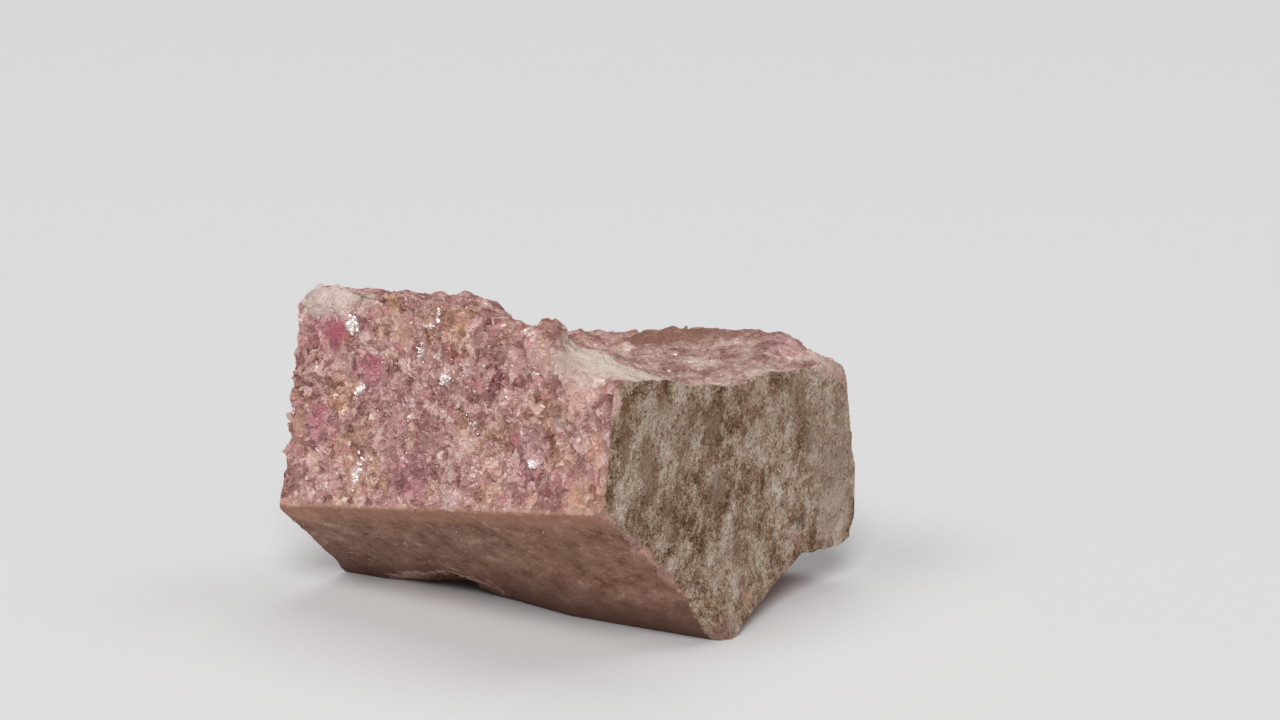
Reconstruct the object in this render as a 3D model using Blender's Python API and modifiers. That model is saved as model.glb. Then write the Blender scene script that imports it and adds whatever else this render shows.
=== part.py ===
"""A hand specimen of pink granular rock: one broken block, resting on its rough underside.

The block is split from a cube by flat facets, the way a hammer and old joints split rock. A saddle is
knocked out of its top, a shelf out of its underside, and shallow scoops out of its back. Then the
surface gets its relief: fresh breaks carry angular lumps, ledges and pits, and the old joint faces
stay nearly flat. The shape is worked in millimetres and scaled to metres at the end.
+Z is up and the base centre is the origin. The pink face and the joint faces beside and below it
look towards -Y.
"""

import math
from dataclasses import dataclass

import bmesh
import bpy
from mathutils import Matrix, Vector, noise

MM = 0.001
NODE_NAME = "rock"

BLANK_SIDE = 140.0  # the cube that the block is split from
GRAIN_STEP = 0.5  # the surface's working resolution, before it is thinned out
MOST_TRIANGLES = 9300


@dataclass(frozen=True)
class Facet:
    """A flat split: azimuth 0 faces -Y and 90 faces +X, tilt is up from level, both in degrees.

    reach is the distance from the datum to the facet's plane along its normal. relief scales the
    lumps on the face it leaves: 1 on a fresh break, and far less on an old joint.
    """

    azimuth: float
    tilt: float
    reach: float
    relief: float = 1.0

    def normal(self):
        across = math.cos(math.radians(self.tilt))
        turn = math.radians(self.azimuth)
        return Vector((math.sin(turn) * across, -math.cos(turn) * across, math.sin(math.radians(self.tilt))))

    def inverse(self):
        """The same plane seen from its other side, for a cutter."""
        return Facet(self.azimuth + 180.0, -self.tilt, -self.reach)

    def depth_of(self, point):
        """How far a point lies behind the plane."""
        return self.reach - self.normal().dot(point)


@dataclass(frozen=True)
class Swell:
    """A local bulge of the surface around a point, or a hollow where height is below 0."""

    centre: tuple
    radius: float
    height: float

    def lift_at(self, point):
        near = 1.0 - (point - Vector(self.centre)).length_squared / self.radius**2
        return self.height * near**2 if near > 0.0 else 0.0


# Fresh breaks.
PINK_FACE = Facet(-37.4, 10.6, 23.5, 0.8)
LEFT_END = Facet(-130.0, -0.5, 34.7, 0.8)
BACK_FACE = Facet(172.0, 3.0, 28.6, 1.5)
RIGHT_END = Facet(142.0, 8.0, 36.7)
TOP_SLOPE = Facet(152.7, 75.4, 41.0)
FRONT_SLOPE = Facet(62.0, 59.0, 43.1, 0.6)
LEFT_TOP_BEVEL = Facet(-69.6, 39.7, 52.0, 0.6)
RIGHT_TOP_BEVEL = Facet(79.9, 72.6, 41.1, 0.8)
RIGHT_LOWER_BEVEL = Facet(142.0, -6.0, 33.4, 0.8)
BACK_UNDERCUT = Facet(186.0, -52.0, 13.0, 1.5)
BACK_LEFT_BEVEL = Facet(-163.0, 18.0, 37.2, 1.5)
LEFT_UNDERCUT = Facet(-150.0, -50.0, 19.6, 1.5)
RESTING_FACE = Facet(0.0, -90.0, -0.15, 0.8)
BREAKS = (
    PINK_FACE,
    LEFT_END,
    BACK_FACE,
    RIGHT_END,
    TOP_SLOPE,
    FRONT_SLOPE,
    LEFT_TOP_BEVEL,
    RIGHT_TOP_BEVEL,
    RIGHT_LOWER_BEVEL,
    BACK_UNDERCUT,
    BACK_LEFT_BEVEL,
    LEFT_UNDERCUT,
    RESTING_FACE,
)

# Old joints, and the bevel on the corner between them.
JOINT_FACE = Facet(50.0, 2.0, 23.4, 0.22)
UNDERCUT = Facet(-26.3, -45.3, 0.46, 0.25)
CORNER_BEVEL = Facet(-11.4, 10.2, 31.6, 0.5)
JOINTS = (JOINT_FACE, UNDERCUT, CORNER_BEVEL)

# The saddle in the top: what lies above its floor and its slope is knocked out. Further back a
# second knock falls away behind the top edge as far as a steeper wall.
SADDLE_FLOOR = Facet(-135.0, 86.0, 34.3, 0.9)
SADDLE_SLOPE = Facet(118.8, 65.4, 36.0, 0.8)
SADDLE_WALL = Facet(109.8, 50.3, 27.7)
SADDLE_BACK_FALL = Facet(165.0, 70.0, 36.9)

# The knob left standing where the saddle meets the top edge: middle, half sizes and turn about Z.
KNOB_MIDDLE, KNOB_HALF_SIZE, KNOB_TURN = (-1.6, -16.0, 43.3), (2.7, 2.2, 2.6), -33.0

# The shelf under the right end: what lies below both planes is knocked out.
SHELF_RISE = Facet(98.0, -60.7, 9.5, 0.5)
SHELF_ROOF = Facet(-40.0, -83.7, -9.7, 0.8)

CUTS = (SADDLE_FLOOR, SADDLE_SLOPE, SADDLE_WALL, SADDLE_BACK_FALL, SHELF_RISE, SHELF_ROOF)

# Conchoidal scoops in the back and the left end: centre and radius of the ball that leaves each.
SCOOPS = (((-6.0, 62.0, 14.0), 37.0), ((-60.0, 40.0, 14.0), 35.5), ((38.0, 46.0, 6.0), 29.0))

SWELLS = (
    Swell((-3.6, -16.9, 41.8), 5.5, 0.9),  # pale chunk below it
    Swell((-33.5, 7.5, 44.6), 4.5, 0.4),  # crust on the top corner
    Swell((-27.6, 1.9, 45.6), 3.0, -0.5),
    Swell((-23.4, -1.1, 46.0), 2.6, 0.5),
    Swell((-19.6, -3.9, 45.8), 2.2, -0.4),
    Swell((-15.5, 24.5, 39.5), 6.5, 1.1),  # the far ridge of the top
    Swell((25.0, 19.5, 35.0), 9.0, 1.4),  # the highest point of the saddle's far side
    Swell((13.5, 23.0, 34.5), 6.0, 0.7),
    Swell((-20.5, -4.2, 39.5), 8.0, -0.5),
    Swell((-11.0, -13.0, 33.0), 7.0, 0.5),
    Swell((-20.0, -8.0, 24.0), 7.5, -0.5),
    Swell((-8.0, -16.5, 27.0), 5.5, -0.4),
    Swell((-30.0, -2.0, 28.0), 7.0, 0.4),
    Swell((-16.5, 6.0, 0.8), 7.0, -1.5),  # the gap under the front of the base
    Swell((6.6, -25.6, 19.6), 1.6, -0.6),  # a lost crystal on the lower corner
    Swell((31.4, 2.4, 9.4), 3.2, -0.8),  # where the shelf's rise meets its roof
    Swell((40.2, 12.4, 6.8), 3.6, -0.9),  # the worn corner at the end of the shelf
    Swell((20.4, -10.6, -0.6), 6.0, 0.7),  # the four feet that carry the block
    Swell((-30.5, 15.0, -0.6), 6.5, 0.9),
    Swell((-19.0, 23.0, -0.6), 6.0, 0.9),
    Swell((12.0, 21.0, -0.6), 7.0, 0.9),
)

CHIP_COUNT = 70
CHIP_DEPTH = (0.12, 0.6)
CHIP_CLEARANCE = 2.2  # chips keep this far from the joint faces, whose edges are crisp
CHIP_SEED = 23

# Relief on a fresh break: broad waves, then two sizes of angular lump.
WAVE_LENGTH, WAVE_HEIGHT = 17.0, 0.45
LUMP_SIZES = ((6.0, 0.34), (2.7, 0.24))
EDGE_FADE = 2.6  # relief dies out over this distance beside a joint face


def block(name, facets):
    """A cube cut down by facets to a closed convex block."""
    bm = bmesh.new()
    bmesh.ops.create_cube(bm, size=BLANK_SIDE)
    for facet in facets:
        split(bm, facet.normal() * facet.reach, facet.normal())
    bmesh.ops.recalc_face_normals(bm, faces=bm.faces)
    mesh = bpy.data.meshes.new(name)
    bm.to_mesh(mesh)
    bm.free()
    return bpy.data.objects.new(name, mesh)


def ball(name, centre, radius):
    """A ball cutter for one scoop."""
    bm = bmesh.new()
    bmesh.ops.create_icosphere(bm, subdivisions=4, radius=radius, matrix=Matrix.Translation(centre))
    mesh = bpy.data.meshes.new(name)
    bm.to_mesh(mesh)
    bm.free()
    return bpy.data.objects.new(name, mesh)


def knob():
    """A small angular lump, turned to lie along the top edge, for the knob."""
    place = Matrix.Translation(KNOB_MIDDLE) @ Matrix.Rotation(math.radians(KNOB_TURN), 4, "Z")
    bm = bmesh.new()
    shape = place @ Matrix.Diagonal((*KNOB_HALF_SIZE, 1.0))
    bmesh.ops.create_icosphere(bm, subdivisions=1, radius=1.0, matrix=shape)
    mesh = bpy.data.meshes.new("knob_block")
    bm.to_mesh(mesh)
    bm.free()
    return bpy.data.objects.new("knob_block", mesh)


def split(bm, point, normal):
    """Takes away what lies outside the plane, and closes the cut with one flat face."""
    everything = bm.verts[:] + bm.edges[:] + bm.faces[:]
    cut = bmesh.ops.bisect_plane(
        bm, geom=everything, dist=1e-5, plane_co=point, plane_no=normal, clear_outer=True
    )
    rim = [item for item in cut["geom_cut"] if isinstance(item, bmesh.types.BMEdge)]
    if rim:
        bmesh.ops.holes_fill(bm, edges=rim)


def chip_edges(mesh):
    """Trims small chips from the edges and corners of the fresh breaks."""
    noise.seed_set(CHIP_SEED)
    bm = bmesh.new()
    bm.from_mesh(mesh)
    for _ in range(CHIP_COUNT):
        normal = noise.random_unit_vector()
        depth = CHIP_DEPTH[0] + (CHIP_DEPTH[1] - CHIP_DEPTH[0]) * noise.random() ** 2
        edge_point = max((v.co for v in bm.verts), key=normal.dot)
        if normal.z > -0.5 and min(joint.depth_of(edge_point) for joint in JOINTS) > CHIP_CLEARANCE:
            split(bm, edge_point - normal * depth, normal)
    bm.to_mesh(mesh)
    bm.free()


def combine(rock, cutters, other, operation="DIFFERENCE"):
    """Knocks a cutter's shape out of the rock, or joins a block to it."""
    other.hide_render = True
    other.display_type = "WIRE"
    cutters.objects.link(other)
    step = rock.modifiers.new(other.name, "BOOLEAN")
    step.object = other
    step.operation = operation
    step.solver = "EXACT"


def apply_modifiers(rock):
    """Makes the evaluated mesh the object's own."""
    graph = bpy.context.evaluated_depsgraph_get()
    finished = bpy.data.meshes.new_from_object(rock.evaluated_get(graph))
    rock.modifiers.clear()
    rock.data = finished


def angular(point, size):
    """Height of a surface broken into tilted facets about one size across, from about -1 to 1."""
    scaled = point / size
    distances, centres = noise.voronoi(scaled)
    heights = []
    for centre in centres[:2]:
        lean = noise.cell_vector(centre * 91.7)
        heights.append(noise.cell(centre * 57.3) * 2.0 - 1.0 + 1.3 * lean.dot(scaled - centre))
    step = min(1.0, (distances[1] - distances[0]) / 0.16) * 0.5 + 0.5
    return heights[0] * step + heights[1] * (1.0 - step)


def relief_at(point, own):
    """How far the surface at a point of its own facet moves outwards."""
    inside = min(joint.depth_of(point) for joint in JOINTS)
    fade = 1.0 if own in JOINTS else max(0.1, min(1.0, inside / EDGE_FADE))
    wave = noise.fractal(point / WAVE_LENGTH, 0.9, 2.1, 3)
    lumps = sum(height * angular(point, size) for size, height in LUMP_SIZES)
    return own.relief * fade * (WAVE_HEIGHT * wave + lumps) + sum(s.lift_at(point) for s in SWELLS)


def roughen(mesh):
    """Moves every vertex by the relief of the facet it lies on."""
    facets = BREAKS + JOINTS + CUTS
    planes = [(facet, facet.normal()) for facet in facets]
    moved = []
    for vertex in mesh.vertices:
        point, out = vertex.co, vertex.normal
        own = min(
            planes, key=lambda pair: abs(pair[0].reach - pair[1].dot(point)) + 4.0 * (1.0 - pair[1].dot(out))
        )[0]
        moved.append(point + out * relief_at(point, own))
    for vertex, place in zip(mesh.vertices, moved):
        vertex.co = place


def stand_on_base(mesh):
    """Cuts the feet flat at the datum's level and puts the origin at the box's bottom centre."""
    bm = bmesh.new()
    bm.from_mesh(mesh)
    split(bm, Vector((0.0, 0.0, 0.0)), Vector((0.0, 0.0, -1.0)))
    bmesh.ops.triangulate(bm, faces=bm.faces)
    xs, ys = [v.co.x for v in bm.verts], [v.co.y for v in bm.verts]
    middle = Vector(((min(xs) + max(xs)) / 2.0, (min(ys) + max(ys)) / 2.0, 0.0))
    bmesh.ops.transform(bm, matrix=Matrix.Scale(MM, 4) @ Matrix.Translation(-middle), verts=bm.verts)
    bm.to_mesh(mesh)
    bm.free()


def rock_material():
    """A dull pink, for the bare CAD."""
    pink = bpy.data.materials.new("pink_rock")
    pink.use_nodes = True
    shader = pink.node_tree.nodes["Principled BSDF"]
    shader.inputs["Base Color"].default_value = (0.42, 0.24, 0.21, 1.0)
    shader.inputs["Roughness"].default_value = 0.7
    return pink


def build():
    """Builds the rock and returns its object."""
    for item in list(bpy.data.objects):
        bpy.data.objects.remove(item)
    specimen = bpy.data.collections.new("pink_rock_specimen")
    cutters = bpy.data.collections.new("cutters")
    bpy.context.scene.collection.children.link(specimen)
    bpy.context.scene.collection.children.link(cutters)
    cutters.hide_render = True

    rock = block(NODE_NAME, BREAKS + JOINTS)
    specimen.objects.link(rock)
    chip_edges(rock.data)
    floor = SADDLE_FLOOR.inverse()
    combine(rock, cutters, block("saddle_cutter", (SADDLE_SLOPE.inverse(), floor)))
    behind = (SADDLE_WALL.inverse(), SADDLE_BACK_FALL.inverse(), floor)
    combine(rock, cutters, block("saddle_back_cutter", behind))
    combine(rock, cutters, knob(), "UNION")
    combine(rock, cutters, block("shelf_cutter", (SHELF_RISE.inverse(), SHELF_ROOF.inverse())))
    for number, (centre, radius) in enumerate(SCOOPS):
        combine(rock, cutters, ball(f"scoop_cutter_{number}", centre, radius))

    grid = rock.modifiers.new("even_surface", "REMESH")
    grid.mode = "VOXEL"
    grid.voxel_size = GRAIN_STEP
    apply_modifiers(rock)
    roughen(rock.data)

    thin = rock.modifiers.new("fewer_faces", "DECIMATE")
    rock.data.calc_loop_triangles()
    thin.ratio = MOST_TRIANGLES / len(rock.data.loop_triangles)
    apply_modifiers(rock)
    stand_on_base(rock.data)
    rock.data.materials.append(rock_material())
    return rock


build()
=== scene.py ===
"""The looks of a pink granular rock specimen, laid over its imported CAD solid.

The stone is one piece. Its surface is a fine skin made from the CAD solid: fresh breaks carry small
angular lumps, and the old joint faces are planed nearly flat with crisp edges. Thousands of small
crystals and bright cleavage flakes are set into the breaks. Sizes are in millimetres and are scaled to
metres where they meet Blender.
"""

import logging
import math
from dataclasses import dataclass
from enum import Enum
from functools import reduce

import bpy
import numpy as np
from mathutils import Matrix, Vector, noise
from mathutils.bvhtree import BVHTree

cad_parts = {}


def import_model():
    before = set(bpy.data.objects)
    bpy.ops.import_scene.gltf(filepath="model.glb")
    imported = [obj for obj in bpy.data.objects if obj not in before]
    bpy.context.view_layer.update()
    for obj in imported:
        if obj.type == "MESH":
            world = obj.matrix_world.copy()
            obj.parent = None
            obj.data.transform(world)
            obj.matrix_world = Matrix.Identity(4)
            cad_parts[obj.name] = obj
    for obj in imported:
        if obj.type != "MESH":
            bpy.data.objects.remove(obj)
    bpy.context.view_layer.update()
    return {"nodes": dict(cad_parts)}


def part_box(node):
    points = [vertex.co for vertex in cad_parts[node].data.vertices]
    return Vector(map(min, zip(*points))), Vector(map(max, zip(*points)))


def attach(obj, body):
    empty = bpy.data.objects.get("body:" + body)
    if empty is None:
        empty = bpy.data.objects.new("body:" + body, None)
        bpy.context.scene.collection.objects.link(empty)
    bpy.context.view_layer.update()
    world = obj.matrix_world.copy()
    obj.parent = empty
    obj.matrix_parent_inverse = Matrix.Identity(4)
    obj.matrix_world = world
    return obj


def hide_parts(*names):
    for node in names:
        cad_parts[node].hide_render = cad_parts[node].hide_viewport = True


LOG = logging.getLogger("pink_rock")
MM = 0.001
NODE = "rock"
DATUM = np.array((0.337, -0.059, 0.0))  # the facets are measured from here, in mm from the origin

Socket = bpy.types.NodeSocket
Place = tuple[float, float, float]


# ---- the block's flat sides


def direction(azimuth: float, elevation: float) -> Place:
    """The unit vector towards an azimuth and an elevation in degrees. Azimuth 0 is -Y and 90 is +X."""
    turn, rise = math.radians(azimuth), math.radians(elevation)
    return (math.sin(turn) * math.cos(rise), -math.cos(turn) * math.cos(rise), math.sin(rise))


@dataclass(frozen=True)
class Facet:
    """A flat side of the block. Azimuth 0 faces -Y and 90 faces +X; tilt is up from level, in degrees.

    reach is the distance in mm from the datum to the facet's plane.
    """

    azimuth: float
    tilt: float
    reach: float

    @property
    def normal(self) -> np.ndarray:
        """The unit normal, pointing outwards."""
        return np.array(direction(self.azimuth, self.tilt))

    @property
    def offset(self) -> float:
        """The plane's distance from the origin along the normal, in mm."""
        return self.reach + float(self.normal @ DATUM)

    def depth_of(self, points: np.ndarray) -> np.ndarray:
        """How far each point in mm lies behind the plane."""
        return self.offset - points @ self.normal

    @property
    def along(self) -> Vector:
        """The level direction in the plane, towards the right as seen from outside."""
        turn = math.radians(self.azimuth)
        return Vector((math.cos(turn), math.sin(turn), 0.0))


PINK_FACE = Facet(-37.4, 10.6, 23.5)
JOINT_FACE = Facet(50.0, 2.0, 23.4)
UNDERCUT = Facet(-26.3, -45.3, 0.46)
CORNER_BEVEL = Facet(-11.4, 10.2, 31.6)
JOINTS = (JOINT_FACE, UNDERCUT, CORNER_BEVEL)


# ---- shapes


def ramp(values: np.ndarray, start: float, width: float) -> np.ndarray:
    """0 up to the start, 1 from a width further on, and a straight rise between."""
    return np.clip((values - start) / width, 0.0, 1.0)


def boxed(points: np.ndarray) -> np.ndarray:
    """The points in mm, with those outside the CAD box moved onto it."""
    low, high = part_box(NODE)
    return np.clip(points, np.array(low) / MM, np.array(high) / MM)


def take(obj: bpy.types.Object) -> None:
    """Selects only this object and makes it active.

    Args:
        obj: the object.
    """
    bpy.ops.object.select_all(action="DESELECT")
    obj.select_set(True)
    bpy.context.view_layer.objects.active = obj


def apply(obj: bpy.types.Object, kind: str, **settings: object) -> None:
    """Adds a modifier with its settings and applies it.

    Args:
        obj: the object, which is made active.
        kind: Blender's name for the modifier.
        settings: the modifier's properties.
    """
    take(obj)
    step = obj.modifiers.new(kind.lower(), kind)
    for name, value in settings.items():
        setattr(step, name, value)
    bpy.ops.object.modifier_apply(modifier=step.name)


def read_vertices(mesh: bpy.types.Mesh) -> tuple[np.ndarray, np.ndarray]:
    """Reads a mesh's vertices.

    Args:
        mesh: the mesh.

    Returns:
        Their places in mm, and their normals.
    """
    places = np.empty(len(mesh.vertices) * 3, np.float32)
    normals = np.empty_like(places)
    mesh.vertices.foreach_get("co", places)
    mesh.vertex_normals.foreach_get("vector", normals)
    return places.reshape(-1, 3).astype(float) / MM, normals.reshape(-1, 3).astype(float)


def angular(point: Vector, size: float) -> float:
    """Height of a surface broken into tilted facets about one size across.

    Args:
        point: the place, in mm.
        size: the facets' width, in mm.

    Returns:
        A height from about -1 to 1.
    """
    height_seed, lean_seed = 57.3, 91.7  # each draws its own numbers from a facet's centre
    lean_share, seam = 1.3, 0.16
    scaled = point / size
    distances, centres = noise.voronoi(scaled)
    heights = []
    for centre in centres[:2]:
        lean = noise.cell_vector(centre * lean_seed)
        level = noise.cell(centre * height_seed) * 2.0 - 1.0
        heights.append(level + lean_share * lean.dot(scaled - centre))
    step = min(1.0, (distances[1] - distances[0]) / seam) * 0.5 + 0.5
    return heights[0] * step + heights[1] * (1.0 - step)


@dataclass(frozen=True)
class WornEdge:
    """An uneven bevel broken along the edge between two facets.

    depth is how far the bevel cuts in, and unevenness is how much that varies, in mm. coarse and fine
    are the widths of its notches.
    """

    first: Facet
    second: Facet
    depth: float
    unevenness: float
    coarse: float = 2.6
    fine: float = 0.9

    def wear(self, points: np.ndarray) -> np.ndarray:
        """Moves the points that stand proud of the bevel back onto it.

        Args:
            points: the surface, in mm.

        Returns:
            The surface after the wear.
        """
        lean = self.first.normal + self.second.normal
        across = lean / np.linalg.norm(lean)
        limit = (self.first.offset + self.second.offset) / np.linalg.norm(lean)
        deepest = self.depth + self.unevenness
        proud = points @ across - limit + self.depth + self.unevenness
        for i in np.flatnonzero(proud > 0.0):
            spot = Vector(points[i])
            rough = noise.noise(spot / self.coarse) + 0.5 * noise.noise(spot / self.fine)
            cut = min(max(self.depth + self.unevenness * rough, 0.0), deepest)
            proud[i] = max(proud[i] - self.depth - self.unevenness + cut, 0.0)
        return points - np.maximum(proud, 0.0)[:, None] * across


@dataclass(frozen=True)
class Swell:
    """A place where the surface is pushed smoothly out or in.

    centre, spread (how far it reaches along X, Y and Z) and push are in mm. steepness above 1 gives it
    a flat top with steep sides.
    """

    centre: Place
    spread: Place
    push: Place
    steepness: float = 1.0

    def move(self, points: np.ndarray) -> np.ndarray:
        """Pushes the points that lie within reach.

        Args:
            points: the surface, in mm.

        Returns:
            The surface after the push.
        """
        away = (((points - self.centre) / self.spread) ** 2).sum(axis=1)
        share = np.clip(self.steepness * (1.0 - away), 0.0, 1.0) ** 2
        return points + share[:, None] * np.array(self.push)


def without_crumbs(whole: bpy.types.Object) -> bpy.types.Object:
    """Deletes the loose crumbs of a mesh.

    Args:
        whole: an object whose mesh may hold crumbs beside its one large part.

    Returns:
        The object that now holds the large part, selected and active.
    """
    take(whole)
    name = whole.name
    bpy.ops.mesh.separate(type="LOOSE")
    parts = sorted(bpy.context.selected_objects, key=lambda part: len(part.data.vertices))
    for crumb in parts[:-1]:
        bpy.data.meshes.remove(crumb.data)
    parts[-1].name = name
    take(parts[-1])
    return parts[-1]


def calmness(normals: np.ndarray) -> np.ndarray:
    """1 where the stone is worn smoother, on its left side and its top, and 0 elsewhere."""
    return np.maximum(ramp(-normals[:, 0], 0.66, 0.16), ramp(normals[:, 2], 0.35, 0.3))


@dataclass
class RockSkin:
    """The stone's outer skin, from the CAD solid. Sizes are in mm.

    Attributes:
        step: width of the grid that the skin is made on.
        most_triangles: what the finished skin is thinned to.
        smoothing: how often the grid's steps are smoothed.
        crease: the angle in degrees above which an edge stays sharp.
        lumps: width and height of each size of facet on the breaks.
        lump_start: depth behind a joint face from which the lumps grow.
        lump_growth: over what depth they reach their full height.
        calm: their height where the stone is worn, as a share.
        joint_waves: width and depth of each size of wave on the joint faces.
        joint_depth: how deep behind a joint face the surface is drawn out onto it.
        joint_fill: how far it is drawn out first.
        joint_pull: how much of the remaining depth goes in each round, as a share.
        joint_rounds: how often the joint faces are planed in turn.
        worn_edges: the bevels.
        swells: the pushes that fit the CAD solid's shape more closely.
    """

    step: float = 0.26
    most_triangles: int = 196_000
    smoothing: int = 2
    crease: float = 50.0
    lumps: tuple[tuple[float, float], ...] = ((3.6, 0.18), (1.9, 0.12), (1.0, 0.07))
    lump_start: float = 0.5
    lump_growth: float = 2.4
    calm: float = 0.4
    joint_waves: tuple[tuple[float, float], ...] = ((5.5, 0.16), (1.6, 0.06), (0.7, 0.035))
    joint_depth: float = 1.3
    joint_fill: float = 0.4
    joint_pull: float = 0.21
    joint_rounds: int = 4
    worn_edges: tuple[WornEdge, ...] = (
        WornEdge(JOINT_FACE, UNDERCUT, 0.8, 0.6),
        WornEdge(JOINT_FACE, CORNER_BEVEL, 0.12, 0.12),
    )
    swells: tuple[Swell, ...] = (
        Swell((-17.5, 24.5, 40.0), (10.0, 8.0, 12.0), (0.0, 0.0, 1.3)),
        Swell((14.0, 21.0, 34.0), (10.0, 9.0, 8.0), (0.0, 0.0, 1.1)),
        Swell((24.5, 20.0, 34.0), (9.0, 8.0, 8.0), (0.0, 0.0, 0.5)),
        Swell((32.0, 13.5, 34.0), (11.0, 12.0, 8.0), (0.0, 0.0, 1.1)),
        Swell((23.4, -7.5, 35.5), (9.0, 6.0, 6.0), (0.0, 0.0, -1.5)),
        Swell((-0.2, -17.0, 45.0), (1.4, 4.0, 5.0), (0.0, 0.0, 0.65), 2.2),
        Swell((-4.2, -14.5, 44.5), (5.0, 6.5, 5.0), (0.0, 0.0, 1.75)),
        Swell((-38.5, 8.0, 31.0), (7.0, 16.0, 16.0), (-0.7, 0.0, 0.0)),
        Swell((-29.8, 5.0, 45.0), (8.5, 8.0, 6.0), (0.0, 0.0, 0.9)),
        Swell((-37.5, 8.0, 45.0), (3.6, 8.0, 4.0), (0.5, 0.0, -1.3)),
        Swell((-12.5, 5.0, 0.0), (8.0, 10.0, 6.0), (0.0, 0.0, 0.5)),
        Swell((-21.5, 8.0, 0.0), (6.5, 14.0, 4.0), (0.0, 0.0, 0.8)),
        Swell((9.0, -6.0, 0.0), (24.0, 18.0, 13.0), (0.6, -2.8, 0.0), 1.3),
    )

    def build(self, cad: bpy.types.Object) -> bpy.types.Object:
        """Makes the skin.

        Args:
            cad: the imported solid.

        Returns:
            The finished object, with its place in its mesh.
        """
        skin = bpy.data.objects.new("rock_skin", cad.data.copy())
        bpy.context.scene.collection.objects.link(skin)
        take(skin)
        bpy.ops.object.mode_set(mode="EDIT")
        bpy.ops.mesh.select_all(action="SELECT")
        bpy.ops.mesh.remove_doubles(threshold=0.001 * MM)
        bpy.ops.object.mode_set(mode="OBJECT")
        apply(skin, "REMESH", mode="VOXEL", voxel_size=self.step * MM)
        apply(skin, "SMOOTH", factor=0.5, iterations=self.smoothing)
        self.roughen(skin.data)
        skin.data.calc_loop_triangles()
        apply(skin, "DECIMATE", ratio=min(1.0, self.most_triangles / len(skin.data.loop_triangles)))
        skin = without_crumbs(skin)
        bpy.ops.object.shade_smooth_by_angle(angle=math.radians(self.crease))
        places, _ = read_vertices(skin.data)
        keep_seats(skin.data, places, np.zeros(len(places)))
        return skin

    def roughen(self, mesh: bpy.types.Mesh) -> None:
        """Lays the relief on the mesh, planes the joint faces and keeps all of it in the CAD box.

        Args:
            mesh: the skin's mesh, which is changed.
        """
        points, out = read_vertices(mesh)
        depth = np.min([joint.depth_of(points) for joint in JOINTS], axis=0)
        amount = ramp(depth, self.lump_start, self.lump_growth)
        amount *= 1.0 - (1.0 - self.calm) * calmness(out)
        lift = np.zeros(len(points))
        for i in np.flatnonzero(amount > 0.0):
            point = Vector(points[i])
            lift[i] = amount[i] * sum(tall * angular(point, size) for size, tall in self.lumps)
        points = self.planed(points + out * lift[:, None], out)
        for edge in self.worn_edges:
            points = edge.wear(points)
        for swell in self.swells:
            points = swell.move(points)
        mesh.vertices.foreach_set("co", (boxed(points) * MM).astype(np.float32).ravel())
        mesh.update()

    def planed(self, points: np.ndarray, out: np.ndarray) -> np.ndarray:
        """Makes the joint faces nearly flat and their edges crisp.

        Args:
            points: the surface, in mm.
            out: its normals.

        Returns:
            The surface after the planing.
        """
        depths = np.array([joint.depth_of(points) for joint in JOINTS])
        near = np.clip(1.0 - depths.min(axis=0) / self.joint_depth, 0.0, 1.0)
        points = points + out * (self.joint_fill * near)[:, None]
        sunk = np.zeros(len(points))
        for i in np.flatnonzero(near > 0.0):
            point = Vector(points[i])
            sunk[i] = sum(tall * (0.5 + 0.5 * noise.noise(point / size)) for size, tall in self.joint_waves)
        over = np.minimum(PINK_FACE.depth_of(points), 0.0) * near
        points += over[:, None] * PINK_FACE.normal
        for _ in range(self.joint_rounds):
            for joint in JOINTS:
                depth = joint.depth_of(points) - sunk
                facing = ramp(out @ joint.normal, 0.72, 0.2)
                shallow = np.clip((0.9 - depth) / 0.3, 0.0, 1.0)
                shift = np.where(depth < 0.0, depth, self.joint_pull * depth * facing * shallow)
                points += shift[:, None] * joint.normal
        return points


def keep_seats(mesh: bpy.types.Mesh, seats: np.ndarray, proud: np.ndarray) -> None:
    """Writes what the material needs to know of each vertex.

    Args:
        mesh: the mesh.
        seats: the place, in mm, from which each vertex takes its colour.
        proud: how far it belongs to a crystal that stands out, from 0 to 1.
    """
    mesh.attributes.new("seat", "FLOAT_VECTOR", "POINT").data.foreach_set(
        "vector", seats.astype(np.float32).ravel()
    )
    mesh.attributes.new("proud", "FLOAT", "POINT").data.foreach_set("value", proud.astype(np.float32))


def turns(quaternions: np.ndarray) -> np.ndarray:
    """Rotation matrices from quaternions.

    Args:
        quaternions: one in each row, of any length.

    Returns:
        A matrix for each row.
    """
    w, x, y, z = (quaternions / np.linalg.norm(quaternions, axis=1, keepdims=True)).T
    rows = (
        (1 - 2 * (y * y + z * z), 2 * (x * y - w * z), 2 * (x * z + w * y)),
        (2 * (x * y + w * z), 1 - 2 * (x * x + z * z), 2 * (y * z - w * x)),
        (2 * (x * z - w * y), 2 * (y * z + w * x), 1 - 2 * (x * x + y * y)),
    )
    return np.array(rows).transpose(2, 0, 1)


def shape_of(model: bpy.types.Object) -> tuple[np.ndarray, np.ndarray]:
    """Reads a small model and removes it.

    Args:
        model: the object.

    Returns:
        Its corners, and its triangles as the numbers of their corners.
    """
    take(model)
    bpy.ops.object.mode_set(mode="EDIT")
    bpy.ops.mesh.select_all(action="SELECT")
    bpy.ops.mesh.quads_convert_to_tris()
    bpy.ops.object.mode_set(mode="OBJECT")
    corners = np.array([v.co for v in model.data.vertices])
    faces = np.array([list(p.vertices) for p in model.data.polygons])
    bpy.data.objects.remove(model)
    return corners, faces


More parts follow.
